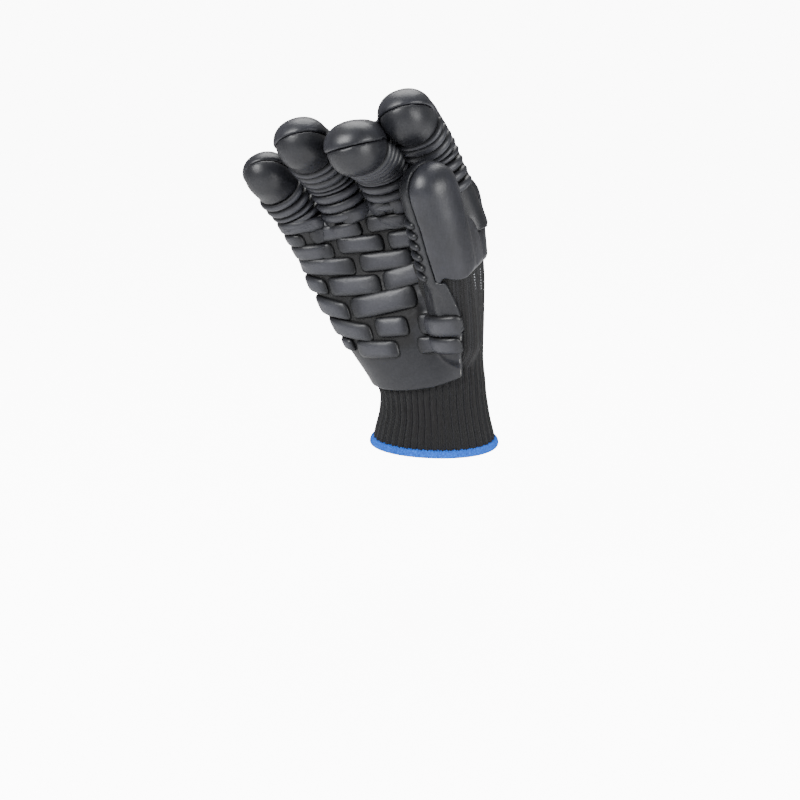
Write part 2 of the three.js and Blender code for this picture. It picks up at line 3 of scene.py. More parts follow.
import bmesh
import bpy
import numpy as np
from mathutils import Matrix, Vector, noise
from mathutils.bvhtree import BVHTree
from mathutils.kdtree import KDTree


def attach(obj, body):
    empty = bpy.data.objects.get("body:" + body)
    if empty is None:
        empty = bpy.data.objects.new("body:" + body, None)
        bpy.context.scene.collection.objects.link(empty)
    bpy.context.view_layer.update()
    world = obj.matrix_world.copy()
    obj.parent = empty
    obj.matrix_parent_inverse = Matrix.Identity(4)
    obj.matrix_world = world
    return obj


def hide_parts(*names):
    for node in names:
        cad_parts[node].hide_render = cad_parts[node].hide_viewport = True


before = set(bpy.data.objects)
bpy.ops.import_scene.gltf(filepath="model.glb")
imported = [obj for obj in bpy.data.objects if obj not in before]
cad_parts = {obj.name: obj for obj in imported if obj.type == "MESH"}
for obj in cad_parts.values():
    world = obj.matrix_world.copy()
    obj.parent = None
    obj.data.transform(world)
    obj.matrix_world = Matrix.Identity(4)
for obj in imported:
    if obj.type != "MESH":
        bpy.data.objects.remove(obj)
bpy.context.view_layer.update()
mm = 0.001  # every size below is in millimetres

# The hand that fills the glove, with the sizes and shares of the CAD
hand = {
    "cuffLength": 28, "palmLength": 121, "hemWidth": 76, "hemDepth": 60, "wristWidth": 65, "wristDepth": 50,
    "palmWidth": 108, "knuckleDepth": 28, "fingerLength": 106, "fingerWidth": 24, "fingerDepth": 23,
    "tipRound": 13, "handLean": 16, "wristBend": 14, "bones": (0.47, 0.265), "bend": 9,
    "root": 8, "rootBlend": 8, "fingerPower": 2.2,
}
walls = {
    "gap": 0.3, "knit": 1.8, "back": 2.0, "palm": 2.6, "ribPitch": 6.6,
    "capBulge": 0.7, "capRelief": 2.2, "capLength": 25, "capStep": 2.5, "reliefFade": 2.4,
    "capTurns": (12, 24, 35, 46, 56, 65, 73, 80, 85, 88.5),
}
# The lip that the coat's hood has over a cap: where it starts, and its shares behind and at the seam
hood = {"start": 2, "over": 9, "behind": 0.6, "seam": 0.4}
# Resolution of the forms before they are fused
fineness = {
    "mostTriangles": 185000, "armSides": 96, "fingerSides": 40, "armPitch": 2.5, "fingerPitch": 2,
    "voxel": 0.8, "innerVoxel": 1.0, "webRings": 26, "smoothing": 0.5, "weld": 1e-4, "sharpAngle": 50,
}
cuffRows = {"at": (0, 0.35, 0.7, 1), "flare": (1, 0.62, 0.18, 0), "power": (2.1, 2.1, 2.1, 2.1)}
palmRows = {
    "at": (0, 0.14, 0.34, 0.55, 0.75, 0.88, 0.95, 1),
    "width": (0, 0.02, 0.36, 0.72, 0.94, 1, 0.99, 0.88),
    "depth": (0, -0.02, 0.1, 0.42, 0.8, 1, 1.14, 1.5),
    "front": (0.5, 0.51, 0.5, 0.48, 0.45, 0.49, 0.54, 0.64),
    "shift": (0, 0.024, 0.024, 0.02, 0.02, 0.03, 0.035, 0.04),
    "power": (2.1, 2.2, 2.3, 2.5, 2.6, 2.6, 2.5, 2.3),
}
web = {"top": 0.88, "overlap": 0.5, "power": 2.4}
webRows = {
    "at": (0.27, 0.46, 0.64, 0.74, 0.82, 0.88),
    "reach": (1, 1, 1, 0.92, 0.66, 0.34),
    "thick": (0.9, 0.9, 0.9, 0.84, 0.7, 0.55),
}
# Each finger: its knuckle up, across and out of the palm, the bends of its joints, and where its ribs start
fingers = {
    "index": {
        "place": (0.848, 0.42, 0.06), "splay": -3, "curls": (20, 27, 24),
        "length": 0.905, "wide": 1.0, "deep": 1.0, "ribs": 14,
    },
    "middle": {
        "place": (0.893, 0.14, 0), "splay": 1, "curls": (37, 34, 16),
        "length": 1.0, "wide": 1.06, "deep": 1.02, "ribs": 17,
    },
    "ring": {
        "place": (0.875, -0.13, 0), "splay": -3, "curls": (26, 27, 16),
        "length": 0.92, "wide": 1.0, "deep": 0.98, "ribs": 19,
    },
    "little": {
        "place": (0.795, -0.36, 0), "splay": -9, "curls": (18, 22, 16),
        "length": 0.785, "wide": 0.86, "deep": 0.88, "ribs": 27,
    },
}
thumb = {
    "place": (0.268, 0.28, 0.6), "splay": 11, "rise": 20, "face": 127, "curls": (0, 5, 5), "length": 1.05,
    "wide": 1.14, "deep": 1.12, "root": 22, "taper": 0.2, "blend": 26, "ribs": 42, "twist": 22,
}
digits = [*fingers.values(), thumb]
# How a finger narrows and swells: where a change starts, over what share of its length, and its size
fingerWaves = ((0.1, 0.25, -0.05), (0.4, 0.2, 0.03), (0.65, 0.2, -0.05))
halves = {"whole": (0, 2 * math.pi), "palm": (0, math.pi), "back": (math.pi, 2 * math.pi)}


def smooth(x):
    x = min(max(x, 0.0), 1.0)
    return x * x * (3 - 2 * x)


def mix(a, b, share):
    return a + (b - a) * share


# A power of the size, with the sign kept
def signedPower(x, power):
    return math.copysign(abs(x) ** power, x)


# A smooth value between the rows of a table
def between(rows, at, column):
    places, values = rows["at"], rows[column]
    last = len(places) - 1
    if at <= places[0]:
        return values[0]
    if at >= places[last]:
        return values[last]
    i = max(k for k in range(last) if places[k] <= at)

    def slope(k):
        a, b = max(k - 1, 0), min(k + 1, last)
        return (values[b] - values[a]) / (places[b] - places[a])

    span, rise = places[i + 1] - places[i], values[i + 1] - values[i]
    t = (at - places[i]) / span
    bend = t * (1 - t) * ((1 - t) * (slope(i) * span - rise) - t * (slope(i + 1) * span - rise))
    return values[i] + rise * t + bend


def turnedAbout(vector, axis, degrees):
    a = math.radians(degrees)
    along = axis * np.dot(axis, vector) * (1 - math.cos(a))
    return vector * math.cos(a) + np.cross(axis, vector) * math.sin(a) + along


# The centreline of cuff and palm: straight up, then leaning to the little finger's side
def armFrame(along):
    def leanAt(s):
        share = smooth((s - hand["cuffLength"] + hand["wristBend"]) / (2 * hand["wristBend"]))
        return math.radians(hand["handLean"]) * share

    steps = max(1, math.ceil(abs(along)))
    step = along / steps
    origin = np.zeros(3)
    for k in range(steps):
        lean = leanAt((k + 0.5) * step)
        origin += np.array((-math.sin(lean), 0, math.cos(lean))) * step
    lean = leanAt(along)
    return {
        "origin": origin, "u": np.array((-math.sin(lean), 0, math.cos(lean))),
        "v": np.array((math.cos(lean), 0, math.sin(lean))), "n": np.array((0.0, -1.0, 0.0)),
    }


palm = armFrame(hand["cuffLength"] + hand["wristBend"])  # the palm's own straight frame, from the wrist
palm["origin"] = palm["origin"] - palm["u"] * hand["wristBend"]


def inPalm(across, out, up):
    return palm["origin"] + palm["v"] * across + palm["n"] * out + palm["u"] * up


# Half width, palm side and back side of the hand, at a distance from the hem
def armSection(along):
    if along < hand["cuffLength"]:
        at = along / hand["cuffLength"]
        flare = between(cuffRows, at, "flare")
        deep = mix(hand["wristDepth"], hand["hemDepth"], flare) / 2
        wide = mix(hand["wristWidth"], hand["hemWidth"], flare) / 2
        return {
            "wide": wide, "front": deep, "back": deep, "shift": 0, "power": between(cuffRows, at, "power"),
        }
    at = (along - hand["cuffLength"]) / hand["palmLength"]
    deep = mix(hand["wristDepth"], hand["knuckleDepth"], between(palmRows, at, "depth"))
    front = between(palmRows, at, "front")
    return {
        "wide": mix(hand["wristWidth"], hand["palmWidth"], between(palmRows, at, "width")) / 2,
        "front": deep * front, "back": deep * (1 - front),
        "shift": hand["palmWidth"] * between(palmRows, at, "shift"), "power": between(palmRows, at, "power"),
    }


# A digit's frame at a distance from its knuckle: u along it, v across it, n to its palm side
def digitFrame(digit, along):
    length = hand["fingerLength"] * digit["length"]
    joints = (0, hand["bones"][0] * length, (hand["bones"][0] + hand["bones"][1]) * length)

    def curlAt(s):
        shares = (smooth((s - joint + hand["bend"]) / (2 * hand["bend"])) for joint in joints)
        return math.radians(sum(curl * share for curl, share in zip(digit["curls"], shares)))

    splay = math.radians(digit["splay"])
    u = palm["u"] * math.cos(splay) + palm["v"] * math.sin(splay)
    v = palm["v"] * math.cos(splay) - palm["u"] * math.sin(splay)
    n = palm["n"]
    if "rise" in digit:
        u, n = turnedAbout(u, v, digit["rise"]), turnedAbout(n, v, digit["rise"])
        v, n = turnedAbout(v, u, -digit["face"]), turnedAbout(n, u, -digit["face"])
    up, across, out = digit["place"]
    origin = inPalm(across * hand["palmWidth"], out * hand["knuckleDepth"], up * hand["palmLength"])
    steps = max(1, math.ceil(abs(along)))
    step = along / steps
    for k in range(steps):
        curl = curlAt((k + 0.5) * step)
        origin = origin + (u * math.cos(curl) + n * math.sin(curl)) * step
    curl = curlAt(along)
    return {
        "origin": origin, "v": v, "u": u * math.cos(curl) + n * math.sin(curl),
        "n": n * math.cos(curl) - u * math.sin(curl),
    }


def digitSection(digit, along):
    at = along / (hand["fingerLength"] * digit["length"])
    joint = 1 + sum(size * smooth((at - start) / over) for start, over, size in fingerWaves)
    deep = hand["fingerDepth"] * digit["deep"] * joint / 2
    wide = hand["fingerWidth"] * digit["wide"] * joint / 2
    return {"wide": wide, "front": deep, "back": deep, "shift": 0, "power": hand["fingerPower"]}


# Points round a section; 0 is across, 90 degrees is the palm side
def arc(at, section, grow, half, sides):
    start, end = halves[half]
    angles = np.linspace(start, end, sides, endpoint=half != "whole")
    c, s = np.cos(angles).round(9), np.sin(angles).round(9)
    bend, close = 2 / section["power"], section.get("close", 1)
    side = (section["wide"] + grow["side"]) * close
    deep = np.where(s >= 0, section["front"] + grow["front"], section["back"] + grow["back"]) * close
    deep = deep + grow.get("relief", 0) * close * np.clip(walls["reliefFade"] * s, 0, 1)
    across = section["shift"] + np.sign(c) * np.abs(c) ** bend * side
    out = np.sign(s) * np.abs(s) ** bend * deep + grow.get("seam", 0)
    return at["origin"] + across[:, None] * at["v"] + out[:, None] * at["n"]


def evenGrow(size):
    return {"side": size, "front": size, "back": size}


def nothingSelected():
    if bpy.context.object and bpy.context.object.mode != "OBJECT":
        bpy.ops.object.mode_set(mode="OBJECT")
    bpy.ops.object.select_all(action="DESELECT")


def only(piece):
    nothingSelected()
    piece.select_set(True)
    bpy.context.view_layer.objects.active = piece


def copyOf(piece):
    twin = piece.copy()
    twin.data = piece.data.copy()
    bpy.context.scene.collection.objects.link(twin)
    return twin


# Applies a modifier with these settings to a piece
def finishWith(piece, kind, **settings):
    only(piece)
    modifier = piece.modifiers.new(kind.lower(), kind)
    for name, value in settings.items():
        setattr(modifier, name, value)
    bpy.ops.object.modifier_apply(modifier=modifier.name)
    return piece


# A grid primitive whose rows are laid along rings of points, closed round and filled at both ends
def wrapped(name, rings, filled=True):
    rings = np.asarray(rings)
    rows, sides = rings.shape[:2]
    nothingSelected()
    bpy.ops.mesh.primitive_grid_add(x_subdivisions=sides, y_subdivisions=rows - 1, size=1)
    piece = bpy.context.object
    piece.name = name
    points = np.concatenate([rings, rings[:, :1]], axis=1).reshape(-1, 3) * mm
    piece.data.vertices.foreach_set("co", points.ravel())
    bpy.ops.object.mode_set(mode="EDIT")
    bpy.ops.mesh.select_all(action="SELECT")
    bpy.ops.mesh.remove_doubles(threshold=fineness["weld"] * mm)
    if filled:
        bpy.ops.mesh.fill_holes(sides=0)
    bpy.ops.mesh.normals_make_consistent(inside=False)
    bpy.ops.object.mode_set(mode="OBJECT")
    return piece


def joined(name, pieces):
    nothingSelected()
    for piece in pieces:
        piece.select_set(True)
    bpy.context.view_layer.objects.active = pieces[0]
    bpy.ops.object.join()
    whole = bpy.context.object
    whole.name = name
    return whole


# A sphere whose points carry a crest value, which sets the rubber's painted light: paler on the crests as wear and
# painted highlight, darker in the furrows as painted shade
def crestedSphere(segments, rings):
    nothingSelected()
    bpy.ops.mesh.primitive_uv_sphere_add(segments=segments, ring_count=rings, radius=1)
    piece = bpy.context.object
    return piece, piece.data.attributes.new("paintedLightAndWear", "FLOAT", "POINT")


def withoutTool(piece, tool, operation="DIFFERENCE", keep=False):
    finishWith(piece, "BOOLEAN", operation=operation, object=tool, solver="MANIFOLD")
    if not keep:
        bpy.data.objects.remove(tool, do_unlink=True)
    return piece


# One closed skin through joined forms, with their creases rounded
def fused(piece, voxel, rounds):
    finishWith(piece, "REMESH", mode="VOXEL", voxel_size=voxel * mm, use_smooth_shade=True)
    return finishWith(piece, "SMOOTH", factor=fineness["smoothing"], iterations=rounds)


# Fewer triangles where a surface is nearly flat
def lightened(piece):
    piece.data.calc_loop_triangles()
    share = fineness["mostTriangles"] / len(piece.data.loop_triangles)
    return finishWith(piece, "DECIMATE", ratio=share) if share < 1 else piece


def treeOf(piece):
    mesh = bmesh.new()
    mesh.from_mesh(piece.data)
    tree = BVHTree.FromBMesh(mesh)
    mesh.free()
    return tree


def armForm(grow, start, end, half="whole"):
    places = np.linspace(start, end, math.ceil((end - start) / fineness["armPitch"]) + 1)
    sides = fineness["armSides"] if half == "whole" else fineness["armSides"] // 2
    return wrapped("arm", [arc(armFrame(a), armSection(a), grow, half, sides) for a in places])


def digitForm(digit, grow, half="whole", until=None):
    length = hand["fingerLength"] * digit["length"]
    shaft, capFrom = length - hand["tipRound"], length - walls["capLength"]
    start = -digit.get("root", hand["root"]) - grow["front"]
    end = shaft if until is None else min(until, shaft)
    sides = fineness["fingerSides"] if half == "whole" else fineness["fingerSides"] // 2
    cap = grow.get("cap", 0)

    def ring(along, close):
        swell = walls["capBulge"] * smooth((along - capFrom + walls["ribPitch"]) / walls["ribPitch"]) * cap
        lip = smooth((along - capFrom - hood["start"]) / hood["over"]) * grow.get("lip", 0)
        section = {**digitSection(digit, min(along, shaft)), "close": close}
        grown = {
            **grow, "side": grow["side"] + swell + lip, "back": grow["back"] + lip * hood["behind"],
            "relief": walls["capRelief"] * smooth((along - capFrom) / walls["capStep"]) * cap,
            "seam": grow.get("seam", 0) + lip * hood["seam"],
        }
        at = digitFrame(digit, along)
        twist = digit.get("twist", 0) * (1 - smooth(along / length))
        turned = {way: turnedAbout(at[way], at["u"], twist) for way in ("v", "n")}
        return arc({**at, **turned}, section, grown, half, sides)

    places = np.linspace(start, end, math.ceil((end - start) / fineness["fingerPitch"]) + 1)
    taper, blend = digit.get("taper", 1), digit.get("blend", hand["rootBlend"])
    rings = [ring(a, mix(taper, 1, smooth((a - start) / blend))) for a in places]
    if until is None:
        for turn in walls["capTurns"]:
            t = math.radians(turn)
            rings.append(ring(shaft + (hand["tipRound"] + grow["front"]) * math.sin(t), math.cos(t)))
    return wrapped("digit", rings)


# The web between thumb and palm
def webForm(grow, half="whole", top=web["top"]):
    start = digitFrame(thumb, 0)
    climb = np.dot(start["u"], palm["u"])
    rings = []
    for at in np.linspace(webRows["at"][0], top, fineness["webRings"]):
        up = at * hand["palmLength"]
        middle = start["origin"] + start["u"] * (up - thumb["place"][0] * hand["palmLength"]) / climb
        deep = between(webRows, at, "thick") * thumb["deep"] * hand["fingerDepth"] / 2
        section = armSection(hand["cuffLength"] + up)
        v = middle - inPalm(section["shift"] + section["wide"] - deep, 0, up)
        length = np.linalg.norm(v) * between(webRows, at, "reach")
        v = v / np.linalg.norm(v)
        n = np.cross(v, palm["u"])
        n = -n if np.dot(n, palm["v"]) > 0 else n
        place = {"origin": middle - v * length / 2, "v": v, "n": n}
        wide = length / 2 + deep * web["overlap"]
        shape = {"wide": wide, "front": deep, "back": deep, "shift": 0, "power": web["power"]}
        rings.append(arc(place, shape, grow, half, fineness["fingerSides"]))
    return wrapped("web", rings)


# A flat outline in the palm's plane, drawn right through the hand
def throughHand(outline):
    nothingSelected()
    bpy.ops.mesh.primitive_circle_add(vertices=len(outline), radius=1, fill_type="NGON")
    piece = bpy.context.object
    reach = hand["palmWidth"]
    points = [inPalm(across, reach, up) * mm for across, up in outline]
    piece.data.vertices.foreach_set("co", np.ravel(points))
    bpy.ops.object.mode_set(mode="EDIT")
    bpy.ops.mesh.select_all(action="SELECT")
    through = Vector(palm["n"] * -2 * reach * mm)
    bpy.ops.mesh.extrude_region_move(TRANSFORM_OT_translate={"value": through})
    bpy.ops.mesh.select_all(action="SELECT")
    bpy.ops.mesh.normals_make_consistent(inside=False)
    bpy.ops.object.mode_set(mode="OBJECT")
    return piece


# Everything below a curve across the hand, given as heights at places across it
def below(curve):
    far, edge = 2 * hand["palmWidth"], {"at": [x for x, _ in curve], "up": [up for _, up in curve]}
    inside = [(x, between(edge, x, "up")) for x in np.arange(curve[1][0], curve[-2][0], 1.0)]
    return throughHand([curve[0], *inside, curve[-1], (far, -far * 2), (-far, -far * 2)])


# The moulding's edge beside the thumb, in mm up and across the palm, and how it then climbs to the forefinger
thumbEdge = {
    "at": (-12, 14, 24, 33, 43, 52, 63, 69, 76, 92),
    "across": (24, 26, 29.5, 33.5, 37.2, 39.3, 39.3, 38.6, 38, 38.5),
    "climb": ((43, 97), (48, 102), (53, 106.5), (58, 110), (64, 112)), "points": 60, "reach": 1.5,
}


def thumbWindow():
    far = hand["palmWidth"] * thumbEdge["reach"]
    heights = np.linspace(thumbEdge["at"][0], thumbEdge["at"][-1], thumbEdge["points"])
    line = [(between(thumbEdge, up, "across"), up) for up in heights]
    corners = ((far, thumbEdge["climb"][-1][1]), (far, thumbEdge["at"][0]))
    return throughHand([*line, *thumbEdge["climb"], *corners])


# The room inside the glove
inner = {"start": -1, "top": 0.95, "round": 3}
innerTop = hand["cuffLength"] + hand["palmLength"] * inner["top"]

print("forms of the hand")
innerForm = joined("inside", [
    armForm(evenGrow(walls["gap"]), inner["start"], innerTop), webForm(evenGrow(walls["gap"])),
    *[digitForm(digit, evenGrow(walls["gap"])) for digit in digits],
])
fused(innerForm, fineness["innerVoxel"], inner["round"])


# Moulded palm: one rubber shell over the palm and the finger fronts
moulding = {
    "lowEdge": ((-216, 40), (-60, 25), (-40, 21), (-23, 16.9), (-7, 14.2), (8, 12.8), (23, 13.4), (34, 14.6),
                (50, 16), (216, 20)),
    "start": 9, "heel": 49, "round": 11,
}


def mouldingBody():
    gap, front = walls["gap"], walls["gap"] + walls["palm"]
    grow = {"side": gap + walls["back"], "front": front, "back": front, "seam": gap / 2, "cap": 1}
    wrist, top = hand["cuffLength"] + hand["wristBend"], hand["cuffLength"] + hand["palmLength"]
    behindGrow = {"side": hand["palmWidth"], "front": 0, "back": hand["palmWidth"], "seam": gap / 2}
    arm = armForm(grow, hand["cuffLength"] + moulding["start"], top, "palm")
    withoutTool(arm, thumbWindow())
    withoutTool(arm, below(moulding["lowEdge"]))
    heel = digitForm(thumb, {**grow, "seam": 0, "cap": 0}, "whole", moulding["heel"])
    withoutTool(heel, armForm(behindGrow, wrist, top, "back"))
    withoutTool(heel, thumbWindow())
    withoutTool(heel, below(moulding["lowEdge"]))
    palmWeb = webForm({**grow, "cap": 0}, "palm")
    withoutTool(palmWeb, armForm(behindGrow, wrist, top, "back"))
    fronts = [digitForm(digit, grow, "palm") for digit in digits]
    plainPalm = joined("plainPalm", [copyOf(form) for form in (arm, *fronts[:4])])
    skin = treeOf(plainPalm)
    bpy.data.objects.remove(plainPalm, do_unlink=True)
    body = joined("mouldedPalm", [arm, heel, palmWeb, *fronts])
    return fused(body, fineness["voxel"], moulding["round"]), skin


print("moulded palm, its wall")
mouldedPalm, palmSkin = mouldingBody()
wholeSkin = treeOf(mouldedPalm)


# Dipped back: a thinner rubber film over the back of the hand and of the fingers
coat = {
    "edge": ((-216, -32), (-60, 30), (-20, 48), (8, 58), (25, 64.5), (33, 70), (37, 75.2), (39.5, 75.4),
             (43, 73.4), (47.5, 72.2), (51, 73.2), (54.5, 76.6), (60, 82), (216, 142)),
    "blend": 14, "round": 2, "clearance": 0.3, "lip": 1.3,
}


def coatBody():
    thick = walls["gap"] + walls["back"]
    grow = {"side": thick, "front": thick, "back": thick, "seam": -walls["gap"] / 2, "cap": 1}
    wrist, top = hand["cuffLength"] + hand["wristBend"], hand["cuffLength"] + hand["palmLength"]
    sideWall = armForm(grow, wrist, top)
    withoutTool(sideWall, thumbWindow(), "INTERSECT")
    body = joined("dippedBack", [
        sideWall, webForm(grow, "back"), armForm(grow, wrist, top, "back"),
        *[digitForm(digit, {**grow, "lip": coat["lip"]}, "back") for digit in digits[:4]],
        digitForm(thumb, grow, "back"),
    ])
    fused(body, fineness["voxel"], coat["blend"])
    withoutTool(body, below(coat["edge"]))
    room = finishWith(copyOf(mouldedPalm), "DISPLACE", strength=coat["clearance"] * mm, mid_level=0)
    withoutTool(body, room)
    fused(body, fineness["voxel"], coat["round"])
    return withoutTool(body, innerForm, keep=True)


print("dipped back")
dippedBack = lightened(coatBody())
withoutTool(mouldedPalm, innerForm, keep=True)

# Brick pads of the palm. Each row: height up the palm as a share, both ends as shares of half the palm's width,
# tilt in degrees, height in mm. Beyond the palm's flat part, places across are measured round its edge.
pads = {
    "rows": (
        (0.344, -0.575, -0.09, -9, 9.8), (0.392, -0.8, -0.655, -18, 7), (0.462, -0.9, -0.35, -16, 10.4),
        (0.434, -0.265, 0.075, -8, 11), (0.58, -1.02, -0.555, -17, 10.4), (0.5535, -0.49, 0.235, -1, 12.4),
        (0.704, -1.1, -0.765, -15, 9), (0.661, -0.7, -0.12, -8, 10.8), (0.6495, -0.06, 0.42, 3, 11.5),
        (0.786, -1.15, -0.36, -11, 10.2), (0.7405, -0.27, 0.29, -7, 10.4), (0.737, 0.36, 0.52, 0, 10),
        (0.872, -1.15, -0.55, -11, 8.8), (0.846, -0.465, 0.02, -9, 9.6), (0.818, 0.1, 0.45, -5, 9.8),
        (0.93, -0.71, -0.17, -3, 8.6), (0.915, -0.085, 0.4, -5, 8.8), (0.955, -1.15, -0.8, -14, 7.4),
        (0.993, -0.3, 0.2, 2, 8), (1.005, -1.1, -0.42, -11, 7.8), (0.985, 0.27, 0.5, 0, 8.4),
    ),
    "thumbRows": ((0.4, 0.21, 0.72, -6, 11.6), (0.304, 0.15, 0.63, -8, 9.4)),
    "fuller": (0.9, 0.63), "stands": 3.3, "sinks": 1.2, "fineness": (72, 28), "lookFrom": 70, "facingSpan": 2.5,
    "edgePower": 0.72, "cornerPower": 0.6, "straight": 2.2, "topPower": 0.8, "crestPower": 1.5,
}


# The palm's face and the way it faces at a place, found from outside it
def skinAt(skin, across, up):
    section = armSection(hand["cuffLength"] + up)
    deep = section["front"] + walls["palm"]
    straight = section["wide"] + walls["palm"] - deep - section["shift"]
    turn = max(0, -across - straight) / deep
    foot = inPalm(max(across, -straight), 0, up)
    way = palm["n"] * math.cos(turn) - palm["v"] * math.sin(turn)
    hit, normal, _, _ = skin.ray_cast(Vector((foot + way * pads["lookFrom"]) * mm), Vector(-way))
    return (np.array(hit) / mm, np.array(normal)) if hit else (foot + way * deep, way)


def brickPad(skin, row):
    at, start, end, tilt, height = row
    half = hand["palmWidth"] / 2
    middle, wide = (start + end) / 2 * half, (end - start) / 2 * half + pads["fuller"][0]
    tall = height / 2 + pads["fuller"][1]
    corner = min(tall, wide)
    piece, paintedLightAndWear = crestedSphere(*pads["fineness"])
    for vertex in piece.data.vertices:
        x, y, z = vertex.co
        flat = math.hypot(x, y)
        c, s = (x / flat, y / flat) if flat > 1e-6 else (0, 0)
        reach = flat ** pads["edgePower"]
        straight = min(max(c * pads["straight"], -1), 1) * (wide - corner)
        side = signedPower(c, pads["cornerPower"]) * corner + straight
        rise = signedPower(s, pads["cornerPower"]) * tall
        across = middle + side * reach
        up = at * hand["palmLength"] + rise * reach + math.tan(math.radians(tilt)) * side * reach
        near = [skinAt(skin, across, up + step) for step in (-pads["facingSpan"], 0, pads["facingSpan"])]
        out = sum(normal for _, normal in near)
        out = out / np.linalg.norm(out)
        lift = abs(z) ** pads["topPower"] * (pads["stands"] if z > 0 else -pads["sinks"])
        vertex.co = (near[1][0] + out * lift) * mm
        # Painted light: the pad's top is coloured paler (wear and painted highlight) and its foot darker (painted
        # shade)
        paintedLightAndWear.data[vertex.index].value = max(z, 0) ** pads["crestPower"]
    return piece


# Rounded ribs across the finger fronts. No two stand equally high: uneven is the share, beat how that varies.
ribs = {
    "stands": 2.6, "sideways": 3.4, "sinks": 1.3, "fill": 0.5, "margin": 3, "fineness": (16, 44),
    "endPower": 0.22, "uneven": 0.07, "beat": (5.1, 9),
}


def fingerRibs(digit):
    capFrom = hand["fingerLength"] * digit["length"] - walls["capLength"]
    side, front, seam = walls["gap"] + walls["back"], walls["gap"] + walls["palm"], walls["gap"] / 2
    made = []
    for k in range(int((capFrom - digit["ribs"]) // walls["ribPitch"])):
        middle = capFrom - (k + 0.5) * walls["ribPitch"]
        piece, paintedLightAndWear = crestedSphere(*ribs["fineness"])
        beat = math.sin(ribs["beat"][0] * k + ribs["beat"][1] * digit["wide"])
        stands = ribs["stands"] * (1 + ribs["uneven"] * beat)
        for vertex in piece.data.vertices:
            x, y, z = vertex.co
            turn = math.asin(max(-1, min(1, z)))
            angle = math.pi / 2 - turn / (math.pi / 2) * (math.pi / 2 - math.radians(ribs["margin"]))
            roundRib = math.atan2(y, x)
            full = math.cos(turn) ** ribs["endPower"]
            along = middle + math.cos(roundRib) * full * walls["ribPitch"] * ribs["fill"]
            at, section = digitFrame(digit, along), digitSection(digit, along)
            bend = 2 / section["power"]
            out = math.sin(roundRib) * full
            # Painted light: each rib's crest is coloured paler (wear and painted highlight), its foot darker
            # (painted shade)
            paintedLightAndWear.data[vertex.index].value = max(out, 0)
            reach = (stands, ribs["sideways"]) if out > 0 else (ribs["sinks"], ribs["sinks"])
            deep, wide = section["front"] + front + out * reach[0], section["wide"] + side + out * reach[1]
            point = at["origin"] + at["v"] * signedPower(math.cos(angle), bend) * wide
            vertex.co = (point + at["n"] * (abs(math.sin(angle)) ** bend * deep + seam)) * mm
        made.append(piece)
    return made


# Marks on the moulding's wall: crest, the painted light, is near 0 in the furrows between pads and ribs (painted
# shade) and 0.5 on plain rubber, flash is the pale rim at its edge, and the ball of the thumb is crumpled. Places
# are in mm up and across the palm.
marks = {
    "plain": 0.5, "furrow": 0.04, "field": (38, 124), "fieldDepth": 6, "fade": (3, 2),
    "right": {"at": (38, 50, 54, 74, 80, 124), "across": (8, 8, 15, 15, 24, 30)},
    "finger": {"sample": 2.0, "near": 21, "lap": 4, "capLap": 2, "capFade": 3},
    "crumple": {"size": 7, "depth": 1.3, "across": (14, 34), "up": (50, 76), "margin": 4, "fade": 6, "out": 8},
    "flash": {"top": 90, "width": 1.1, "fade": 0.7, "facing": 4},
}


# How much painted light a place of the wall gets, darker in the furrows as painted shade, from its place in the
# palm and the finger that it is on
def paintedLightAndWearAt(across, out, up, digit, near, pastCap):
    low, high = marks["field"]
    onFinger = marks["finger"]
    # Finger fronts below the cap: the wall between the ribs is darkened as painted shade
    if digit is not thumb and near < onFinger["near"] and up > high - onFinger["lap"]:
        share = smooth((pastCap + onFinger["capLap"]) / onFinger["capFade"])
        return mix(marks["furrow"], marks["plain"], share)
    # The palm's wall among the pads, up to the right edge in marks, is darkened as painted shade
    if low < up < high and 0 < out < armSection(hand["cuffLength"] + up)["front"] + marks["fieldDepth"]:
        share = smooth((between(marks["right"], up, "across") - across) / marks["fade"][0])
        return mix(marks["plain"], marks["furrow"], share * smooth((up - low) / marks["fade"][1]))
    return marks["plain"]


def crumpleAt(point, across, out, up):
    rough = marks["crumple"]
    if out <= rough["out"]:
        return 0
    share = 1
    for place, (low, high) in ((across, rough["across"]), (up, rough["up"])):
        share *= smooth((place - low + rough["margin"]) / rough["fade"])
        share *= smooth((high + rough["margin"] - place) / rough["fade"])
    return noise.noise(Vector(point) / rough["size"]) * rough["depth"] * share


def flashAt(across, up, facing):
    rim = marks["flash"]
    if up >= rim["top"]:
        return 0
    edge = abs(across - between(thumbEdge, up, "across"))
    return smooth((rim["width"] - edge) / rim["fade"]) * smooth(np.dot(facing, palm["n"]) * rim["facing"] - 1)


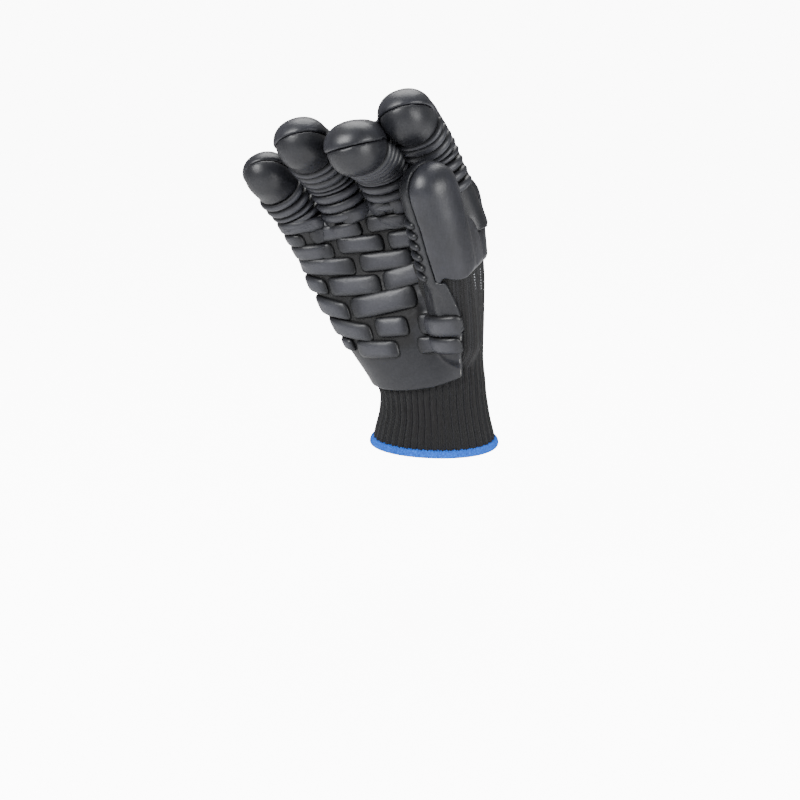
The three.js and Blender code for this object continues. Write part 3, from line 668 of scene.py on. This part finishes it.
def markWall(piece):
    samples = []
    for digit in digits:
        length = hand["fingerLength"] * digit["length"]
        for along in np.arange(0, length, marks["finger"]["sample"]):
            samples.append((digit, along - length + walls["capLength"], digitFrame(digit, along)["origin"]))
    tree = KDTree(len(samples))
    for number, (_, _, place) in enumerate(samples):
        tree.insert(Vector(place), number)
    tree.balance()
    points = np.array([vertex.co for vertex in piece.data.vertices])
    facings = np.array([vertex.normal for vertex in piece.data.vertices])
    paintedLightAndWearValues, flashes = np.zeros(len(points)), np.zeros(len(points))
    for number, point in enumerate(points / mm):
        across, out, up = (np.dot(point - palm["origin"], palm[way]) for way in ("v", "n", "u"))
        _, sample, near = tree.find(Vector(point))
        digit, pastCap, _ = samples[sample]
        paintedLightAndWearValues[number] = paintedLightAndWearAt(across, out, up, digit, near, pastCap)
        flashes[number] = flashAt(across, up, facings[number])
        points[number] += facings[number] * crumpleAt(point, across, out, up) * mm
    for name, values in (("paintedLightAndWear", paintedLightAndWearValues), ("flash", flashes)):
        piece.data.attributes.new(name, "FLOAT", "POINT")
        piece.data.attributes[name].data.foreach_set("value", values)
    piece.data.vertices.foreach_set("co", points.ravel())
    piece.data.update()


print("pads and ribs")
markWall(mouldedPalm)
relief = [brickPad(palmSkin, row) for row in pads["rows"]]
relief += [brickPad(wholeSkin, row) for row in pads["thumbRows"]]
for digit in digits:
    relief += fingerRibs(digit)
mouldedPalm = lightened(joined("mouldedPalm", [mouldedPalm, *relief]))

# Knitted body: a ribbed tube under the rubber, with shallower ribs beyond the cuff
knit = {
    "ribs": 42, "ribDepth": 1.2, "columns": 14, "rowPitch": 2, "top": 0.84, "bottom": 1.6, "thumb": 56,
    "webTop": 0.64, "round": 14, "shallow": 0.5, "shallowOver": 30, "furrowPower": 2, "lookFrom": 120,
}


def knitTube():
    form = joined("knitForm", [
        armForm(evenGrow(0), inner["start"], innerTop), digitForm(thumb, evenGrow(0), "whole", knit["thumb"]),
        webForm(evenGrow(0), "whole", knit["webTop"]),
    ])
    fused(form, fineness["innerVoxel"], knit["round"])
    outline = treeOf(form)
    bpy.data.objects.remove(form, do_unlink=True)
    sides = knit["ribs"] * knit["columns"]
    start, end = knit["bottom"], hand["cuffLength"] + hand["palmLength"] * knit["top"]
    rings = []
    for along in np.linspace(start, end, math.ceil((end - start) / knit["rowPitch"]) + 1):
        at, section = armFrame(along), armSection(along)
        middle = at["origin"] + at["v"] * section["shift"]
        share = smooth((along - hand["cuffLength"]) / knit["shallowOver"])
        depth = knit["ribDepth"] * mix(1, knit["shallow"], share)
        ring = []
        for k in range(sides):
            angle = 2 * math.pi * k / sides
            way = at["v"] * math.cos(angle) + at["n"] * math.sin(angle)
            hit = outline.ray_cast(Vector((middle + way * knit["lookFrom"]) * mm), Vector(-way))[0]
            furrow = (0.5 - 0.5 * math.cos(2 * math.pi * k / knit["columns"])) ** knit["furrowPower"]
            ring.append(np.array(hit) / mm - way * furrow * depth)
        rings.append(ring)
    tube = wrapped("knitBody", rings, filled=False)
    return finishWith(tube, "SOLIDIFY", thickness=walls["knit"] * mm, offset=-1, use_rim=True)


print("knitted body")
knitBody = knitTube()


# A point of the cuff at a height and an angle round it, and a distance out from it
def onCuff(up, angle, out):
    at, section = armFrame(up), armSection(up)
    bend = 2 / section["power"]
    across = signedPower(math.cos(angle), bend) * (section["wide"] + out)
    forward = signedPower(math.sin(angle), bend) * (section["front"] + out)
    return at["origin"] + at["v"] * across + at["n"] * forward


# Overlocked hem: yarn wrapped over the cuff's edge
hem = {
    "height": 5, "wall": 1.3, "stitch": 1.6, "samples": 6, "profile": 22, "relief": 0.28, "wander": 0.25,
    "radius": 35, "squarePower": 0.8, "rise": 0.94, "slant": 0.5,
}


def overlockedHem():
    sides = round(2 * math.pi * hem["radius"] / hem["stitch"]) * hem["samples"]
    outer, inside = walls["gap"] + hem["wall"], -walls["knit"] - walls["gap"] - hem["wall"]
    rings = []
    for j in range(hem["profile"]):
        turn = 2 * math.pi * j / hem["profile"]
        out = signedPower(math.cos(turn), hem["squarePower"])
        rise = signedPower(math.sin(turn), hem["squarePower"])
        ring = []
        for k in range(sides):
            wave = math.cos(2 * math.pi * (k / hem["samples"] + hem["slant"] * math.sin(turn)))
            offset = out * ((outer - inside) / 2 - hem["relief"] + wave * hem["relief"])
            up = hem["height"] / 2 * (1 + rise * hem["rise"]) + max(rise, 0) * hem["wander"] * wave
            ring.append(onCuff(up, 2 * math.pi * k / sides, (outer + inside) / 2 + offset))
        rings.append(ring)
    rings.append(rings[0])
    return wrapped("hemBinding", rings, filled=False)


print("hem")
hemBinding = overlockedHem()

# Plain label: a woven tab that leaves the hem and lies along the cuff
tab = {
    "width": 34, "height": 25, "tuck": 0.6, "thick": 0.45, "lift": 2.0, "turn": 62, "columns": 40, "rows": 30,
    "off": 0.25, "liftPower": 1.6, "ripple": 0.35, "ripples": 5,
}


def plainLabel():
    nothingSelected()
    bpy.ops.mesh.primitive_grid_add(x_subdivisions=tab["columns"], y_subdivisions=tab["rows"], size=1)
    piece = bpy.context.object
    piece.name = "plainLabel"
    spread = tab["width"] / ((hand["hemWidth"] + hand["hemDepth"]) / 4)
    for vertex in piece.data.vertices:
        share, side = vertex.co.y + 0.5, vertex.co.x
        up = hem["height"] + walls["gap"] - tab["tuck"] + (tab["height"] + tab["tuck"]) * share
        lift = tab["lift"] * share ** tab["liftPower"]
        ripple = tab["ripple"] * math.sin(side * tab["ripples"]) * share
        angle = -math.radians(tab["turn"]) + side * spread
        vertex.co = onCuff(up, angle, walls["gap"] + tab["off"] + lift + ripple) * mm
    return finishWith(piece, "SOLIDIFY", thickness=tab["thick"] * mm, offset=-1, use_rim=True)


print("label")
label = plainLabel()
bpy.data.objects.remove(innerForm, do_unlink=True)

for piece in (mouldedPalm, dippedBack, knitBody, hemBinding, label):
    only(piece)
    bpy.ops.object.shade_smooth_by_angle(angle=math.radians(fineness["sharpAngle"]))


# sRGB hex to the linear colour that Blender wants
def colour(code):
    parts = [int(code[k:k + 2], 16) / 255 for k in (1, 3, 5)]
    return (*[part / 12.92 if part <= 0.04045 else ((part + 0.055) / 1.055) ** 2.4 for part in parts], 1)


def addNode(material, kind, links=(), **settings):
    node = material.node_tree.nodes.new(kind)
    for name, value in settings.items():
        if name in node.inputs:
            node.inputs[name].default_value = value
        else:
            setattr(node, name, value)
    for output, socket in links:
        material.node_tree.links.new(output, node.inputs[socket])
    return node


def newMaterial(name):
    material = bpy.data.materials.new(name)
    material.use_nodes = True
    return material, material.node_tree.nodes["Principled BSDF"]


def objectPlace(material):
    return addNode(material, "ShaderNodeTexCoord").outputs["Object"]


# A value of an attribute, as a node
def attribute(material, name):
    return addNode(material, "ShaderNodeAttribute", attribute_name=name).outputs["Fac"]


# Noise whose cells have a size in mm
def noiseOf(material, place, size, detail, **settings):
    scale = 1 / (size * mm)
    node = addNode(material, "ShaderNodeTexNoise", [(place, "Vector")], Scale=scale, Detail=detail, **settings)
    return node.outputs["Fac"]


def ramp(material, source, stops):
    node = addNode(material, "ShaderNodeValToRGB", [(source, "Fac")])
    for element, (position, code) in zip(elementsFor(node.color_ramp, len(stops)), stops):
        element.position = position
        element.color = colour(code)
    return node.outputs["Color"]


def elementsFor(colourRamp, count):
    while len(colourRamp.elements) < count:
        colourRamp.elements.new(0.5)
    return colourRamp.elements


def maths(material, operation, *terms):
    node = addNode(material, "ShaderNodeMath", operation=operation)
    for socket, term in zip(node.inputs, terms):
        if isinstance(term, (int, float)):
            socket.default_value = term
        else:
            material.node_tree.links.new(term, socket)
    return node.outputs[0]


def product(material, *terms):
    total = terms[0]
    for term in terms[1:]:
        total = maths(material, "MULTIPLY", total, term)
    return total


def weightedSum(material, *terms):
    total = 0
    for source, weight in terms:
        total = maths(material, "MULTIPLY_ADD", source, weight, total)
    return total


# 1 between two values and 0 outside them
def band(material, source, limits):
    above = maths(material, "GREATER_THAN", source, limits[0])
    return product(material, above, maths(material, "LESS_THAN", source, limits[1]))


# The base colour, with another colour over it where the share is 1
def overlaid(material, share, base, code):
    node = addNode(material, "ShaderNodeMix", [(share, 0), (base, 6)], data_type="RGBA")
    node.inputs[7].default_value = colour(code)
    return node.outputs[2]


# A material's colour, roughness and relief, whose depth is in mm
def dressed(material, shader, look, base, height):
    bump = addNode(
        material, "ShaderNodeBump", [(height, "Height")], Strength=look["bump"], Distance=look["depth"] * mm,
    )
    material.node_tree.links.new(base, shader.inputs["Base Color"])
    material.node_tree.links.new(bump.outputs["Normal"], shader.inputs["Normal"])
    shader.inputs["Roughness"].default_value = look["roughness"]
    return material


# Chloroprene rubber, compression moulded: satin, dark slate, paler on the crests as wear and painted highlight,
# nearly black in the furrows as painted shade, with a pale ragged flash
mouldedLook = {
    "cloud": 11.765, "dents": 5.263, "grain": 0.7692, "crestWeight": 0.78, "cloudWeight": 0.34,
    # Painted light: near-black furrows are painted shade, the pale crests are partly wear and partly painted
    # highlight
    "wearAndPaintedLight": ((0.16, "#08080a"), (0.42, "#131418"), (0.68, "#222328"), (1.0, "#3e3f45")),
    "ragged": ((0.44, "#000000"), (0.56, "#ffffff")), "flash": "#a9a8a2",
    "grainWeight": 0.12, "bump": 0.35, "depth": 0.7, "roughness": 0.43,
}


def mouldedRubber():
    look = mouldedLook
    material, shader = newMaterial("mouldedChloropreneRubber")
    place = objectPlace(material)
    cloud = noiseOf(material, place, look["cloud"], 5, Roughness=0.6)
    grain = noiseOf(material, place, look["grain"], 3)
    dents = noiseOf(material, place, look["dents"], 4, Roughness=0.55)
    # Colour from the crest value: painted shade in the furrows, wear and painted highlight on the crests, with
    # random cloud
    wearAndPaintedLight = weightedSum(material, (attribute(material, "paintedLightAndWear"), look["crestWeight"]), (cloud, look["cloudWeight"]))
    rim = product(material, attribute(material, "flash"), dents)
    wornAndPaintedLightColour, ragged = ramp(material, wearAndPaintedLight, look["wearAndPaintedLight"]), ramp(material, rim, look["ragged"])
    base = overlaid(material, ragged, wornAndPaintedLightColour, look["flash"])
    height = weightedSum(material, (grain, look["grainWeight"]), (dents, 1))
    return dressed(material, shader, look, base, height)


# Chloroprene film, dipped over the knit: smooth satin, with fine drawn streaks and soft folds
dippedLook = {
    "cloud": 18.18, "streaks": 1.613, "drawn": 0.12, "lean": 14, "folds": 8.333, "foldWarp": 0.6,
    "tone": ((0.3, "#15161a"), (0.72, "#2e2f36")), "cloudWeight": 0.8, "streakWeight": 0.2,
    "streakRelief": 0.18, "bump": 0.3, "depth": 0.8, "roughness": 0.4,
}


def dippedRubber():
    look = dippedLook
    material, shader = newMaterial("dippedChloropreneFilm")
    place = objectPlace(material)
    turn = (0, math.radians(look["lean"]), 0)
    drawn = addNode(
        material, "ShaderNodeMapping", [(place, "Vector")], Scale=(1, 1, look["drawn"]), Rotation=turn,
    ).outputs[0]
    cloud = noiseOf(material, place, look["cloud"], 5, Roughness=0.6)
    streaks = noiseOf(material, drawn, look["streaks"], 3)
    folds = noiseOf(material, place, look["folds"], 3, Distortion=look["foldWarp"])
    tone = weightedSum(material, (cloud, look["cloudWeight"]), (streaks, look["streakWeight"]))
    height = weightedSum(material, (streaks, look["streakRelief"]), (folds, 1))
    return dressed(material, shader, look, ramp(material, tone, look["tone"]), height)


# Knitted nylon: black, stocking stitch in wales, with rows of paler reinforcing stitches on every second rib.
# Their places are shares round the hand and up the tube.
knitLook = {
    "walesPerRib": 4, "course": 1.1, "fuzz": 1.111, "paleEvery": 2, "paleLine": (0.44, 0.56),
    "paleStitch": 1.6, "paleDot": (0.2, 0.62), "backRows": ((0.56, 0.93), (0.3, 0.66)),
    "thumbRows": ((0.0, 0.075), (0.66, 0.76)), "pale": "#b9bcc2",
    "tone": ((0.18, "#030304"), (0.5, "#0c0c0e"), (0.95, "#2a2b30")), "weights": (0.45, 0.16, 0.5),
    "bump": 0.8, "depth": 0.6, "roughness": 0.85, "sheen": 0.03,
}


def knittedNylon():
    look = knitLook
    material, shader = newMaterial("knittedNylon")
    length = hand["cuffLength"] + hand["palmLength"] * knit["top"] - knit["bottom"]

    def sums(operation, *terms):
        return maths(material, operation, *terms)

    sheet = addNode(material, "ShaderNodeUVMap", uv_map="UVMap").outputs[0]
    x, y = addNode(material, "ShaderNodeSeparateXYZ", [(sheet, 0)]).outputs[:2]
    rib = sums("MULTIPLY", x, knit["ribs"])
    wale = sums("FRACT", sums("MULTIPLY", x, knit["ribs"] * look["walesPerRib"]))
    lean = sums("ABSOLUTE", sums("SUBTRACT", wale, 0.5))
    course = sums("FRACT", sums("ADD", sums("MULTIPLY", y, length / look["course"]), lean))
    loop, ridge = (sums("SINE", sums("MULTIPLY", share, math.pi)) for share in (course, wale))
    height = product(material, loop, ridge)
    crown = sums("COSINE", sums("MULTIPLY", sums("ADD", rib, 0.5), 2 * math.pi))
    fuzz = noiseOf(material, objectPlace(material), look["fuzz"], 3)
    tone = weightedSum(material, *zip((height, crown, fuzz), look["weights"]))
    line = band(material, sums("FRACT", sums("DIVIDE", rib, look["paleEvery"])), look["paleLine"])
    dots = sums("FRACT", sums("MULTIPLY", y, length / look["paleStitch"]))
    onBack, byThumb = (
        product(material, band(material, x, around), band(material, y, upwards))
        for around, upwards in (look["backRows"], look["thumbRows"])
    )
    pale = product(material, line, band(material, dots, look["paleDot"]), sums("ADD", onBack, byThumb))
    shader.inputs["Sheen Weight"].default_value = look["sheen"]
    base = overlaid(material, pale, ramp(material, tone, look["tone"]), look["pale"])
    return dressed(material, shader, look, base, height)


# Polyester overlock yarn, bright blue, matt and slightly fuzzy
yarnLook = {
    "fibre": 0.9091, "tone": ((0.3, "#0040a0"), (0.7, "#0072ee")), "sheen": 0.05,
    "bump": 0.5, "depth": 0.4, "roughness": 0.75,
}


def overlockYarn():
    look = yarnLook
    material, shader = newMaterial("overlockYarn")
    fibre = noiseOf(material, objectPlace(material), look["fibre"], 4)
    shader.inputs["Sheen Weight"].default_value = look["sheen"]
    return dressed(material, shader, look, ramp(material, fibre, look["tone"]), fibre)


# Woven satin tape, white and bare, with a fine thread grain
tapeLook = {
    "thread": 1.4286, "wander": 0.4, "tone": ((0.0, "#d9dcdf"), (1.0, "#f2f3f5")),
    "bump": 0.3, "depth": 0.2, "roughness": 0.55,
}


def labelTape():
    look = tapeLook
    material, shader = newMaterial("wovenLabelTape")
    thread = addNode(
        material, "ShaderNodeTexWave", [(objectPlace(material), "Vector")], bands_direction="Z",
        Scale=1 / (look["thread"] * mm), Distortion=look["wander"],
    ).outputs["Fac"]
    return dressed(material, shader, look, ramp(material, thread, look["tone"]), thread)


# Pale studio: a floor well below the glove, which is held up, and soft lights. Lights: place, size, power.
studio = {
    "floor": -0.09, "floorSize": 6, "paper": "#f6f6f7", "paperRoughness": 0.9, "whiteness": 10, "world": 0.3,
    "aim": (-0.03, -0.02, 0.11),
    "lights": {
        "key": ((-0.45, -0.75, 0.75), 0.5, 15), "side": ((0.9, -0.45, 0.35), 0.5, 9),
        "top": ((-0.1, 0.35, 0.9), 0.7, 9),
    },
}


# Paper backdrop that looks white to the camera and throws little light back
def backdropPaper():
    material, shader = newMaterial("paleBackdropPaper")
    shader.inputs["Base Color"].default_value = colour(studio["paper"])
    shader.inputs["Roughness"].default_value = studio["paperRoughness"]
    shader.inputs["Emission Color"].default_value = (1, 1, 1, 1)
    seen = addNode(material, "ShaderNodeLightPath").outputs["Is Camera Ray"]
    glow = maths(material, "MULTIPLY", seen, studio["whiteness"])
    material.node_tree.links.new(glow, shader.inputs["Emission Strength"])
    return material


print("materials")
looks = {
    mouldedPalm: (mouldedRubber(), ["moulded_palm", "index_front", "middle_front", "ring_front", "little_front"]),
    dippedBack: (dippedRubber(), ["dipped_back", "index_hood", "middle_hood", "ring_hood", "little_hood"]),
    knitBody: (knittedNylon(), ["knitted_body"]),
    hemBinding: (overlockYarn(), ["cuff_hem"]),
    label: (labelTape(), ["label"]),
}
for piece, (material, nodes) in looks.items():
    piece.data.materials.clear()
    piece.data.materials.append(material)
    for face in piece.data.polygons:
        face.material_index = 0
    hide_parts(*nodes)
    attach(piece, "root")

# Camera as the photograph has it: the point `target` falls at `pixel` of a square picture
view = {
    "azimuth": 12, "elevation": 16, "distance": 0.864, "target": (0, 0, 0.0285), "pixel": (434, 398),
    "focal": 1440, "pixels": 800,
}
print("camera and light")
camera = bpy.data.objects.new("camera", bpy.data.cameras.new("camera"))
bpy.context.scene.collection.objects.link(camera)
bpy.context.scene.camera = camera
azimuth, elevation = math.radians(view["azimuth"]), math.radians(view["elevation"])
flatPart = math.cos(elevation)
back = Vector((math.sin(azimuth) * flatPart, -math.cos(azimuth) * flatPart, math.sin(elevation)))
camera.location = Vector(view["target"]) + back * view["distance"]
camera.rotation_mode = "QUATERNION"
camera.rotation_quaternion = (-back).to_track_quat("-Z", "Y")
camera.data.lens = view["focal"] / view["pixels"] * camera.data.sensor_width
camera.data.shift_x = 0.5 - view["pixel"][0] / view["pixels"]
camera.data.shift_y = view["pixel"][1] / view["pixels"] - 0.5

nothingSelected()
bpy.ops.mesh.primitive_plane_add(size=studio["floorSize"], location=(0, 0, studio["floor"]))
floor = bpy.context.object
floor.name = "floor"
floor.data.materials.append(backdropPaper())
world = bpy.data.worlds.new("studio")
bpy.context.scene.world = world
world.use_nodes = True
seen = addNode(world, "ShaderNodeLightPath").outputs["Is Camera Ray"]
sky = world.node_tree.nodes["Background"]
sky.inputs["Color"].default_value = (1, 1, 1, 1)
glow = maths(world, "MULTIPLY_ADD", seen, studio["whiteness"], studio["world"])
world.node_tree.links.new(glow, sky.inputs["Strength"])
for name, (place, size, power) in studio["lights"].items():
    light = bpy.data.objects.new(name, bpy.data.lights.new(name, "AREA"))
    bpy.context.scene.collection.objects.link(light)
    light.data.size = size
    light.data.energy = power
    light.location = place
    light.rotation_mode = "QUATERNION"
    light.rotation_quaternion = (Vector(studio["aim"]) - Vector(place)).to_track_quat("-Z", "Y")
